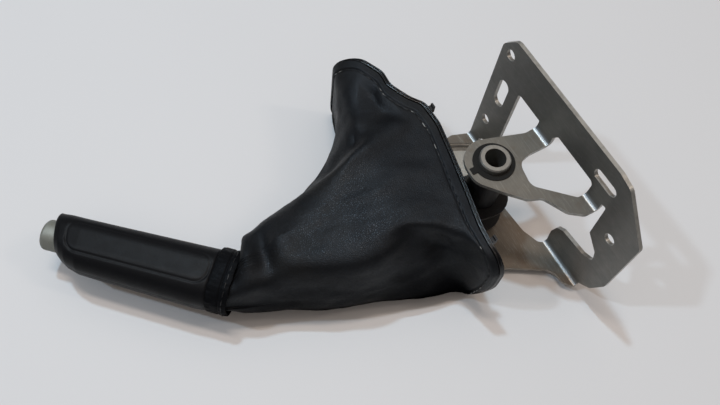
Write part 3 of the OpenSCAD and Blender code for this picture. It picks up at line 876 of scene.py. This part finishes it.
@dataclass
class Boot:
    """Leather boot between the rim and the cuff."""

    rim: Rim
    axes: LeverAxes
    leather: float = 1.5
    neck: tuple[float, float] = (21.1, 17.4)
    spigot: float = 14.0
    floor: float = -48.0
    hem: float = 6.6
    hem_lift: float = 0.7
    hem_roll: float = 0.5
    undercut: float = 5.0
    apex: float = 20.0
    ridge_share: float = 0.58
    ridge_softening: int = 5
    wrinkle: float = 1.1
    fine_wrinkle: float = 0.35
    gathers: float = 14.0
    gather_depth: float = 0.6
    neck_crease: float = 1.8
    # length of leather with close rows, and the distances between rows
    close_rows: float = 10.0
    row_steps: tuple[float, float] = (0.5, 1.5)
    # flat size, and places where the leather still rests with the bracket and where it follows the lever, in metres
    flat: tuple[float, float] = (0.54, 0.21)
    rests_at: Point = (-0.052, 0.030, -0.012)
    follows_at: Point = (-0.146, 0.028, -0.016)
    # share of the way from the rim to the first section, and how far the side panel cuts in there
    shoulders: tuple[tuple[float, float], ...] = ((0.12, 0.02), (0.28, 0.8))
    sections: tuple[Section, ...] = (
        Section(-72, 22, 92, 70, 38.5, -9.5, 26, 33, 22.5),
        Section(-102, 16, 91, 53, 36, -12, 30, 36.5, 20),
        Section(-131, 14, 89, 42, 32.5, -13.5, 28, 26.5, 18),
        Section(-160, 18.5, 84, 33, 28.5, -15, 26, 15, 13),
        Section(-180, 20, 68, 25.5, 23, -16, 22, 16, 14),
    )
    folds: tuple[Fold, ...] = (
        Fold(((-62, 59), (-80, 55.5), (-96, 53), (-116, 49.8), (-138, 49)), 1.4, 5.0, drop=6.5, reach=6.0),
        Fold(((-30, 63), (-56, 60.4), (-73, 56.5), (-96, 53), (-108, 51)), 1.6, 8.0, drop=5.5),
        Fold(((-84, 78), (-57, 76.5), (-34, 76)), 1.4, 9.0),
        Fold(((-160, 39), (-165.5, 24), (-169, 4)), -5.5, 6.5),
        Fold(((-168, 46), (-174, 31), (-178, 12)), 4.2, 6.0),
        Fold(((-150, 30), (-153, 12), (-150, -6)), 1.6, 8.0),
    )

    def section_ring(self, s: Section, trimmed: bool = True) -> np.ndarray:
        """Outline of one section, with its ridge on the same column in every section.

        Args:
            s: The section's sizes.
            trimmed: True where the slanted side panel cuts the section.

        Returns:
            Points shaped (n, 3).
        """
        flat = round_box((s.depth, s.height), s.corner, self.rim.counts)
        shares, places = [-1.0, -self.ridge_share, 0.0], [-1.0, -s.ridge / s.depth, 0.0]
        slid = np.interp(flat[:, 0] / s.depth, shares, places) * s.depth
        flat[:, 0] = np.where((flat[:, 1] > 0) & (flat[:, 0] < 0), slid, flat[:, 0])
        if trimmed:
            ridge, crease = np.array([-s.ridge, s.height]), np.array([-s.depth, -s.crease])
            out = unit(np.array([crease[1] - ridge[1], ridge[0] - crease[0]]))
            reach = float(out @ ridge)
            flat = flat * (reach / np.maximum(flat @ out, reach))[:, None]
            for _ in range(self.ridge_softening):
                flat = (np.roll(flat, 1, axis=0) + 2.0 * flat + np.roll(flat, -1, axis=0)) / 4.0
        a = math.radians(s.turn)
        across, up = flat[:, 0], flat[:, 1]
        return np.stack([s.x + across * math.cos(a), s.y + across * math.sin(a), s.z + up], axis=1)

    def neck_ring(self, x: float) -> np.ndarray:
        """Outline of the neck at a place along the grip."""
        flat = round_box(self.neck, self.neck[1] - 1.0, self.rim.counts)
        return self.axes.from_grip(stood_at(x, flat * np.array([-1.0, 1.0])))

    def base(self) -> np.ndarray:
        """The boot's smooth form, as rows from the rim to the neck."""
        edge = self.rim.ring(1.2, -0.4)
        first = self.sections[0]._replace(ridge=self.apex)
        start = self.section_ring(first, trimmed=False)
        panel = self.section_ring(first) - start
        control = [edge]
        control += [edge + (start - edge) * share + panel * cut for share, cut in self.shoulders]
        control += [self.section_ring(s) for s in self.sections]
        control += [self.neck_ring(-self.spigot), self.neck_ring(-1.0)]
        return spline_rows(np.array(control), self.close_rows, self.row_steps)[:, ::-1]

    def form(self) -> np.ndarray:
        """The boot's form with its folds and wrinkles, as rows."""
        rows = self.base()
        normals = row_normals(rows)
        steps = np.linalg.norm(np.diff(rows, axis=0), axis=2)
        run = np.concatenate([np.zeros((1, rows.shape[1])), np.cumsum(steps, axis=0)])
        share = run / run[-1]
        free = smooth(self.hem, self.hem + 12.0, run) * smooth(0.0, 0.10, 1.0 - share)
        top = smooth(-0.25, 0.45, normals[..., 2])
        folded = soften(sum(fold.height(rows[..., :2]) * top for fold in self.folds), 8)
        pulled = rows * np.array([0.45, 1.0, 1.0])
        folded += field_noise(pulled, 26.0, 3.7, 3) * self.wrinkle
        folded += field_noise(pulled, 9.0, 8.1, 2) * self.fine_wrinkle
        at_neck = smooth(0.0, 0.03, 1.0 - share)
        gather = np.cos(round_angles(rows.shape[1]) * self.gathers) * self.gather_depth
        gather = gather * smooth(0.75, 0.97, share) * at_neck
        roll = self.hem_lift + self.hem_roll * smooth(112.0, 132.0, rows[..., 1])
        edge = roll * smooth(self.hem + 0.4, self.hem - 0.4, run)
        edge -= 0.5 * bell(run - self.hem - 0.7, 0.9)
        crease = self.neck_crease * smooth(0.86, 0.92, share) * at_neck
        rows = rows + normals * (folded * free + gather + edge - crease)[..., None]
        under = self.undercut * smooth(self.floor + 15.0, self.floor + 1.0, rows[..., 2]) * free
        rows[..., :2] -= normals[..., :2] * under[..., None]
        rows[..., 2] = np.maximum(rows[..., 2], self.floor + 0.2)
        return rows

    def build(self, rows: np.ndarray, finish: bpy.types.Material) -> bpy.types.Object:
        """The boot's form as a closed leather wall in a material."""
        return thicken(mesh_piece("boot_cover", rows, skin_faces(rows), finish), self.leather)

    def seam(self, rows: np.ndarray) -> np.ndarray:
        """A run of points along the hem, just over the leather."""
        row = int(self.hem / self.row_steps[0]) + 1
        return rows[row] + row_normals(rows)[row] * 0.1


class StitchRun:
    """Geometry Nodes tree that sews stitches along a closed curve."""

    def __init__(self, finish: Thread, pitch: float = 6.5, length: float = 4.6, thread: float = 0.6) -> None:
        """Keeps the sizes in millimetres and builds the tree.

        Args:
            finish: Finish of the thread.
            pitch: Distance from stitch to stitch.
            length: Length of a stitch.
            thread: Diameter of the thread.
        """
        self.sizes = {"Pitch": pitch * MM, "Length": length * MM, "Thread": thread * MM, "Stray": 0.09}
        self.finish = finish.material()
        self.tree = self._tree()

    def _tree(self) -> bpy.types.NodeTree:
        """Builds the tree with its named inputs."""
        tree = bpy.data.node_groups.new("stitch_run", "GeometryNodeTree")
        tree.interface.new_socket(name="Path", in_out="INPUT", socket_type="NodeSocketGeometry")
        for label in self.sizes:
            tree.interface.new_socket(name=label, in_out="INPUT", socket_type="NodeSocketFloat")
        tree.interface.new_socket(name="Thread Finish", in_out="INPUT", socket_type="NodeSocketMaterial")
        tree.interface.new_socket(name="Stitches", in_out="OUTPUT", socket_type="NodeSocketGeometry")
        b = Bench(tree)
        given, out = b.add("NodeGroupInput").outputs, b.add("NodeGroupOutput")
        spaced = b.add("GeometryNodeResampleCurve", mode="LENGTH")
        b.set(spaced, Curve=given["Path"], Length=given["Pitch"])
        points = b.add("GeometryNodeCurveToPoints", mode="EVALUATED")
        b.set(points, Curve=spaced.outputs["Curve"])
        stitch = b.set(b.add("GeometryNodeMeshUVSphere"), Segments=8, Rings=6, Radius=0.5)
        stray = b.add("FunctionNodeRandomValue", data_type="FLOAT_VECTOR")
        b.set(stray, Min=(-1.0, -1.0, -1.0), Seed=7)
        wild = b.add("ShaderNodeVectorMath", operation="SCALE")
        b.set(wild, Vector=stray.outputs["Value"], Scale=given["Stray"])
        aim = b.add("ShaderNodeVectorMath", operation="ADD")
        b.put(aim.inputs[0], points.outputs["Tangent"])
        b.put(aim.inputs[1], wild.outputs[0])
        turned = b.set(b.add("FunctionNodeAlignRotationToVector", axis="Z"), Vector=aim.outputs[0])
        size = b.add("ShaderNodeCombineXYZ")
        b.set(size, X=given["Thread"], Y=given["Thread"], Z=given["Length"])
        sewn = b.add("GeometryNodeInstanceOnPoints")
        b.set(sewn, Points=points.outputs["Points"], Instance=stitch.outputs["Mesh"])
        b.set(sewn, Rotation=turned.outputs["Rotation"], Scale=size.outputs[0])
        real = b.set(b.add("GeometryNodeRealizeInstances"), Geometry=sewn.outputs["Instances"])
        dyed = b.add("GeometryNodeSetMaterial")
        b.set(dyed, Geometry=real.outputs["Geometry"], Material=given["Thread Finish"])
        b.set(out, Stitches=dyed.outputs["Geometry"])
        return tree

    def sew(self, name: str, path: np.ndarray) -> bpy.types.Object:
        """Sews one run.

        Args:
            name: Name of the piece.
            path: Points of the seam in millimetres.

        Returns:
            The stitches as one plain mesh object.
        """
        curve = bpy.data.curves.new(name + "_path", "CURVE")
        curve.dimensions = "3D"
        line = curve.splines.new("POLY")
        line.points.add(len(path) - 1)
        line.points.foreach_set("co", np.column_stack([path * MM, np.ones(len(path))]).ravel())
        line.use_cyclic_u = True
        guide = link_new(name + "_path", curve)
        sewing = guide.modifiers.new("stitches", "NODES")
        sewing.node_group = self.tree
        ids = {s.name: s.identifier for s in self.tree.interface.items_tree if s.in_out == "INPUT"}
        for label, value in {**self.sizes, "Thread Finish": self.finish}.items():
            sewing[ids[label]] = value
        mesh = plain_mesh(guide)
        mesh.name = name
        bpy.data.objects.remove(guide)
        mesh.polygons.foreach_set("use_smooth", [True] * len(mesh.polygons))
        return link_new(name, mesh)


@dataclass
class Cuff:
    """Gathered leather band that clamps the boot's neck on the grip."""

    axes: LeverAxes
    inside: tuple[float, float] = (21.2, 17.5)
    wall: float = 1.4
    crown: float = 0.55
    groove: float = 0.7
    groove_at: float = 0.40
    pleat: float = 0.5
    ragged: float = 0.55
    length: float = 15.0
    points: int = 200
    rows: int = 34
    seam_at: float = 0.2
    # in metres
    flat: tuple[float, float] = (0.126, 0.0155)

    def form(self) -> tuple[np.ndarray, np.ndarray]:
        """Outer and inner rows of the band in the grip's axes."""
        angles = round_angles(self.points)
        core = outline_at(angles, self.inside, self.inside[1] - 1.0)
        outer, inner = [], []
        for t in np.linspace(0.0, 1.0, self.rows):
            x = -self.length * (1.0 - t)
            off_mid = abs(2 * t - 1.0)
            crown = self.crown * (1.0 - off_mid**4) - self.groove * float(bell(t - self.groove_at, 0.045))
            size = [h + self.wall + crown for h in self.inside]
            flat = outline_at(angles, size, size[1] - 1.0)
            spot = np.column_stack([on_circle(angles) * 20, np.full(self.points, x * 0.35)])
            pleat = self.pleat * field_noise(spot, 2.6, 5.3) * (0.35 + 0.65 * off_mid**0.5)
            flat = flat + unit(flat) * pleat[:, None]
            end = x + self.ragged * field_noise(spot, 3.4, 11.0) * off_mid**3
            outer.append(stood_at(end, flat))
            inner.append(stood_at(end, core))
        return np.array(outer), np.array(inner)

    def build(self, finish: bpy.types.Material) -> bpy.types.Object:
        """The band as one closed mesh in a material."""
        outer, inner = self.form()
        rows = np.concatenate([outer, inner[::-1]])
        return mesh_piece("cuff_band", self.axes.from_grip(rows), skin_faces(rows, loop=True), finish)

    def seam(self) -> np.ndarray:
        """A run of points round the band, just over its outside."""
        row = self.form()[0][int(round(self.seam_at * (self.rows - 1)))]
        return self.axes.from_grip(row + unit(row * np.array([0.0, 1.0, 1.0])) * 0.2)


# ---------------------------------------------------------------- grip and button


@dataclass
class Grip:
    """Moulded hand grip with an inset panel on each side."""

    axes: LeverAxes
    points: int = 176
    rows: int = 150
    panel_mid: tuple[float, float] = (54.0, 1.2)
    panel_half: tuple[float, float] = (51.3, 10.8)
    panel_corner: float = 9.0
    panel_depth: float = 0.3
    groove: float = 0.7
    groove_width: float = 0.8
    seam: float = 0.22
    # how far the front end leans back for each millimetre towards the fingers, and where that starts and is full
    slant: float = 0.28
    slant_x: tuple[float, float] = (78.0, 114.0)
    # place along the grip, half depth, half width, offset to the fingers, corner radius
    slabs: tuple[tuple[float, ...], ...] = (
        (0, 20.6, 17.0, 1.2, 15), (1.6, 21.4, 17.9, 1.2, 15.4), (12, 21.5, 18, 1.6, 16),
        (96, 19, 16.5, 2.0, 14), (106, 17.9, 15.6, 0.9, 13.3), (111, 16.4, 14.6, -0.2, 12.8),
        (114, 15.2, 13.2, -1.7, 12.2), (115, 13.9, 12.4, -1.9, 12),
    )
    # place along the grip and scale of the rows that close its back, then place and radius of the button's hole
    back_rows: tuple[tuple[float, float], ...] = ((-0.1, 0.4), (-0.1, 0.8), (-0.05, 0.93))
    hole_rows: tuple[tuple[float, float], ...] = ((115.1, 12.2), (114.9, 11.6), (114.0, 11.3), (98.0, 11.3))

    def panel_gap(self, x: np.ndarray, y: np.ndarray) -> np.ndarray:
        """Signed distance to the panel's outline, negative inside it."""
        qx = np.abs(x - self.panel_mid[0]) - self.panel_half[0] + self.panel_corner
        qy = np.abs(y - self.panel_mid[1]) - self.panel_half[1] + self.panel_corner
        outside = np.hypot(np.maximum(qx, 0), np.maximum(qy, 0))
        return outside + np.minimum(np.maximum(qx, qy), 0) - self.panel_corner

    def form(self) -> np.ndarray:
        """Rows of the grip in its own axes."""
        table = np.array(self.slabs, float)
        angles = round_angles(self.points)
        rows = []
        for x in (*np.linspace(0, 1.6, 5), *np.linspace(2.2, 104, self.rows), *np.linspace(104.5, 115, 16)):
            a, b, shift, r = (float(np.interp(x, table[:, 0], table[:, k])) for k in range(1, 5))
            rows.append(stood_at(x, outline_at(angles, (a, b), r) + np.array([shift, 0.0])))
        body = np.array(rows)
        normals = row_normals(body)
        x, y, z = np.moveaxis(body, -1, 0)
        gap = self.panel_gap(x, y)
        upright = smooth(0.25, 0.6, np.abs(normals[..., 2]))
        finger_side = 0.3 + 0.7 * smooth(-6.0, 6.0, y)
        cut = self.groove * bell(gap, self.groove_width) + self.panel_depth * smooth(1.0, -1.0, gap)
        seam = self.seam * bell(z, 0.6) * smooth(4.0, 10.0, x) * smooth(113, 106, x)
        body = body + normals * (seam - cut * finger_side * upright)[..., None]
        backs = [stood_at(x, body[0][:, 1:] * scale) for x, scale in self.back_rows]
        hole = [stood_at(x, on_circle(angles) * r) for x, r in self.hole_rows]
        local = np.concatenate([backs, body, hole])
        local[..., 0] -= self.slant * local[..., 1] * smooth(*self.slant_x, local[..., 0])
        return local

    def build(self, finish: bpy.types.Material) -> bpy.types.Object:
        """The grip as one closed mesh in a material."""
        rows = self.form()
        return mesh_piece("grip_moulding", self.axes.from_grip(rows), skin_faces(rows, capped=True), finish)


@dataclass
class ReleaseButton:
    """Silver push button on the end of the grip."""

    axes: LeverAxes
    radius: float = 11.0
    front: float = 125.0
    back: float = 109.0
    edge: float = 3.0
    points: int = 96

    def build(self, finish: bpy.types.Material) -> bpy.types.Object:
        """The button as a turned piece in a material."""
        r, e, front = self.radius, self.edge, self.front
        profile = [(self.back, r - 0.4), (self.back + 0.4, r)]
        profile += [(x, r) for x in np.linspace(self.back + 1.0, front - e, 8)]
        bend = np.radians(90 * np.arange(1, 9) / 8)
        profile += [(front - e + e * math.sin(a), r - e + e * math.cos(a)) for a in bend]
        profile += [(front + 0.15, r * 0.5), (front + 0.22, r * 0.2), (front + 0.25, 0.6)]
        circle = on_circle(round_angles(self.points))
        rows = np.array([stood_at(x, circle * q) for x, q in profile])
        return mesh_piece("push_button", self.axes.from_grip(rows), skin_faces(rows, capped=True), finish)


# ---------------------------------------------------------------- studio


class Lamp(NamedTuple):
    """Lamp on the ceiling: direction to it, share of the table's light, size in metres, colour."""

    name: str
    towards: Point
    share: float
    size: tuple[float, float]
    tint: Colour


@dataclass
class Studio:
    """Table, lamps, room light and the photograph's camera."""

    floor_z: float = -48.15
    floor_reach: float = 4000.0
    eye: Point = (-229.19, -165.97, 454.04)
    turn: Point = (2.5998879687103216, -0.6263445158740357, 0.2606763024852871)
    focal_px: float = 712.30
    frame_px: float = 720.0
    sensor: float = 36.0
    # height of the lamps in metres, and the direction of their length
    ceiling: float = 2.4
    lamp_way: Point = (-0.74, 0.67, 0.0)
    lamps: tuple[Lamp, ...] = (
        Lamp("left_lamp", (-0.58, 0.27, 0.77), 0.12, (0.10, 0.10), (0.80, 1.0, 1.18)),
        Lamp("far_lamp", (-0.08, 0.34, 0.93), 0.24, (0.12, 0.10), (0.70, 1.0, 1.22)),
        Lamp("right_lamp", (0.52, -0.32, 0.79), 0.04, (0.40, 0.15), (1.19, 1.0, 0.86)),
        Lamp("over_lamp", (-0.05, 0.14, 0.99), 0.225, (0.80, 0.20), (1.19, 1.0, 0.86)),
    )
    room_level: float = 0.60
    room_side: Colour = (0.05, 0.05, 0.053)
    room_top: Colour = (1.13, 0.995, 0.89)
    # height of a direction at which the room light starts to rise, and is full
    room_rise: tuple[float, float] = (0.38, 0.97)

    def build_table(self) -> bpy.types.Object:
        """The table top under the part."""
        r, z = self.floor_reach, self.floor_z
        pts = np.array([(-r, -r, z), (r, -r, z), (r, r, z), (-r, r, z)])
        return mesh_piece("table_top", pts, [(0, 1, 2, 3)], Table().material())

    def build_camera(self) -> None:
        """The camera at the photograph's place."""
        data = bpy.data.cameras.new("photo_camera")
        data.sensor_fit = "HORIZONTAL"
        data.sensor_width = self.sensor
        data.lens = self.focal_px * self.sensor / self.frame_px
        data.clip_start = 0.01
        axis = Vector(self.turn)
        to_view = Matrix.Rotation(axis.length, 3, axis.normalized())
        right, down, forward = (Vector(to_view[i]) for i in range(3))
        pose = Matrix((right, -down, -forward)).transposed().to_4x4()
        pose.translation = Vector(self.eye) * MM
        camera = link_new("photo_camera", data)
        camera.matrix_world = pose
        bpy.context.scene.camera = camera

    def build_lamp(self, lamp: Lamp) -> None:
        """Hangs a lamp; shares of 1 in all would show colours as they are written."""
        back, way = Vector(lamp.towards).normalized(), Vector(self.lamp_way)
        side = (way - back * back.dot(way)).normalized()
        data = bpy.data.lights.new(lamp.name, "AREA")
        data.shape = "RECTANGLE"
        data.size, data.size_y = lamp.size
        data.color = lamp.tint
        data.energy = lamp.share * (math.pi * self.ceiling) ** 2 / back.z
        pose = Matrix((side, back.cross(side), back)).transposed().to_4x4()
        pose.translation = back * self.ceiling
        link_new(lamp.name, data).matrix_world = pose

    def build_world(self) -> None:
        """Even room light, paler overhead."""
        world = bpy.data.worlds.new("room")
        world.use_nodes = True
        b = Bench(world.node_tree)
        height = b.split(b.add("ShaderNodeTexCoord").outputs["Generated"])[2]
        tone = b.mix(b.ramp(height, *self.room_rise), self.room_side, self.room_top)
        b.set(world.node_tree.nodes["Background"], Color=tone, Strength=self.room_level)
        bpy.context.scene.world = world

    def build(self) -> None:
        """Sets up the table, camera, lamps, room light and colour view."""
        self.build_table()
        self.build_camera()
        for lamp in self.lamps:
            self.build_lamp(lamp)
        self.build_world()
        bpy.context.scene.view_settings.view_transform = "Standard"


# ---------------------------------------------------------------- dressing


def hand_over(piece: bpy.types.Object, body: Optional[Body], node: Optional[str] = None) -> None:
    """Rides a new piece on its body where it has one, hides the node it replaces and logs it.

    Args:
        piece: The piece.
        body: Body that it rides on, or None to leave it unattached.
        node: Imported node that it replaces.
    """
    if body is not None:
        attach(piece, body.value)
    if node is not None:
        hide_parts(node)
    LOG.info("%s: %d faces", piece.name, len(piece.data.polygons))


@dataclass
class HardParts:
    """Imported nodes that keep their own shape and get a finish."""

    nodes: dict[str, bpy.types.Object]

    def paint(self, finish: bpy.types.Material, *names: str) -> None:
        """Gives nodes a material."""
        for name in names:
            mesh = self.nodes[name].data
            mesh.materials.clear()
            mesh.materials.append(finish)
            LOG.info("%s: %s", name, finish.name)

    def dress(self) -> None:
        """Gives every hard node its finish."""
        self.paint(BracketSteel().material(), "mounting_bracket")
        bright = Metal("sector_plating", (0.40, 0.385, 0.35), (0.20, 0.165, 0.125), 0.38, 0.8, 0.42, 14.0)
        self.paint(bright.material(), "ratchet_sector", "front_rivet", "middle_rivet", "back_rivet")
        tube = Metal("tube_steel_turned", (0.31, 0.305, 0.285), (0.18, 0.165, 0.14), 0.34, 0.85, 0.4, 9.0)
        self.paint(tube.material(), "pivot_tube", "grip_tube", "pawl_pin", "pawl_clip", "cable_pin", "cable_clip")
        dark = Metal("pawl_steel_oiled", (0.17, 0.165, 0.155), (0.09, 0.075, 0.06), 0.4, 0.85, 0.5, 8.0)
        self.paint(dark.material(), "pawl", "release_rod", "pawl_spring", "button_spring")
        bush = Moulding("bush_plastic_dull", (0.0075, 0.0072, 0.0065), (0.022, 0.020, 0.017), 0.6, 0.18)
        self.paint(bush.material(), "upper_bush", "lower_bush")
        arm = Moulding("arm_paint_dull", (0.011, 0.011, 0.012), (0.030, 0.029, 0.028), 0.5, 0.35, 1.6, 0.08)
        self.paint(arm.material(), "lever_arm", "upper_spacer", "lower_spacer")
        clip = Moulding("clip_plastic", (0.010, 0.010, 0.011), (0.025, 0.025, 0.026), 0.42)
        self.paint(clip.material(), "front_frame_clip", "rear_frame_clip")
        guide = Moulding("guide_plastic_plain", (0.50, 0.49, 0.45), (0.36, 0.34, 0.30), 0.5)
        self.paint(guide.material(), "rod_guide")


@dataclass
class SoftParts:
    """The boot with its rim, cuff and stitches."""

    axes: LeverAxes

    def dress(self) -> None:
        """Builds the pieces and hands them to the frame."""
        rim = Rim()
        gloss = Moulding("strip_plastic", (0.003, 0.003, 0.0034), (0.008, 0.008, 0.009), 0.24, 0.45, 0.7, 0.0)
        strip = rim.build(gloss.material())
        hand_over(strip, Body.BRACKET, "boot_frame")
        boot = Boot(rim, self.axes)
        rows = boot.form()
        cover = boot.build(rows, Leather("boot_leather_grained").material())
        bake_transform(cover)
        hand_over(cover, None, "boot")
        stitches = StitchRun(Thread()).sew("rim_stitches", boot.seam(rows))
        hand_over(stitches, Body.BRACKET)
        cuff = Cuff(self.axes)
        band = cuff.build(Leather("cuff_leather", roughness=0.40, cell=0.9, depth=0.05, gloss=0.06).material())
        hand_over(band, Body.LEVER, "cuff_strap")
        # the cuff's thread has a dark glint tone, so it shows no painted glint
        dark_thread = Thread("cuff_thread", glint_tone=(0.025, 0.025, 0.027))
        sewn = StitchRun(dark_thread).sew("cuff_stitches", cuff.seam())
        hand_over(sewn, Body.LEVER)


@dataclass
class Handle:
    """The grip and the button in its end."""

    axes: LeverAxes

    def dress(self) -> None:
        """Builds the pieces and hands them to the frame."""
        plastic = Moulding(
            "grip_plastic_grained", (0.0058, 0.0060, 0.0070), (0.0130, 0.0132, 0.0145), 0.42, 0.105, 0.9, 0.03
        )
        hand_over(Grip(self.axes).build(plastic.material()), Body.LEVER, "grip")
        silver = Metal("button_silver", (0.225, 0.23, 0.205), (0.165, 0.16, 0.105), 0.5, 0.35, 0.45, 7.0, 0.3)
        hand_over(ReleaseButton(self.axes).build(silver.material()), Body.BUTTON, "release_button")


def main() -> None:
    """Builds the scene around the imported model."""
    logging.basicConfig(level=logging.INFO, format="%(message)s")
    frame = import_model()
    axes = LeverAxes()
    Studio().build()
    HardParts(frame["nodes"]).dress()
    SoftParts(axes).dress()
    Handle(axes).dress()


if __name__ == "__main__":
    main()
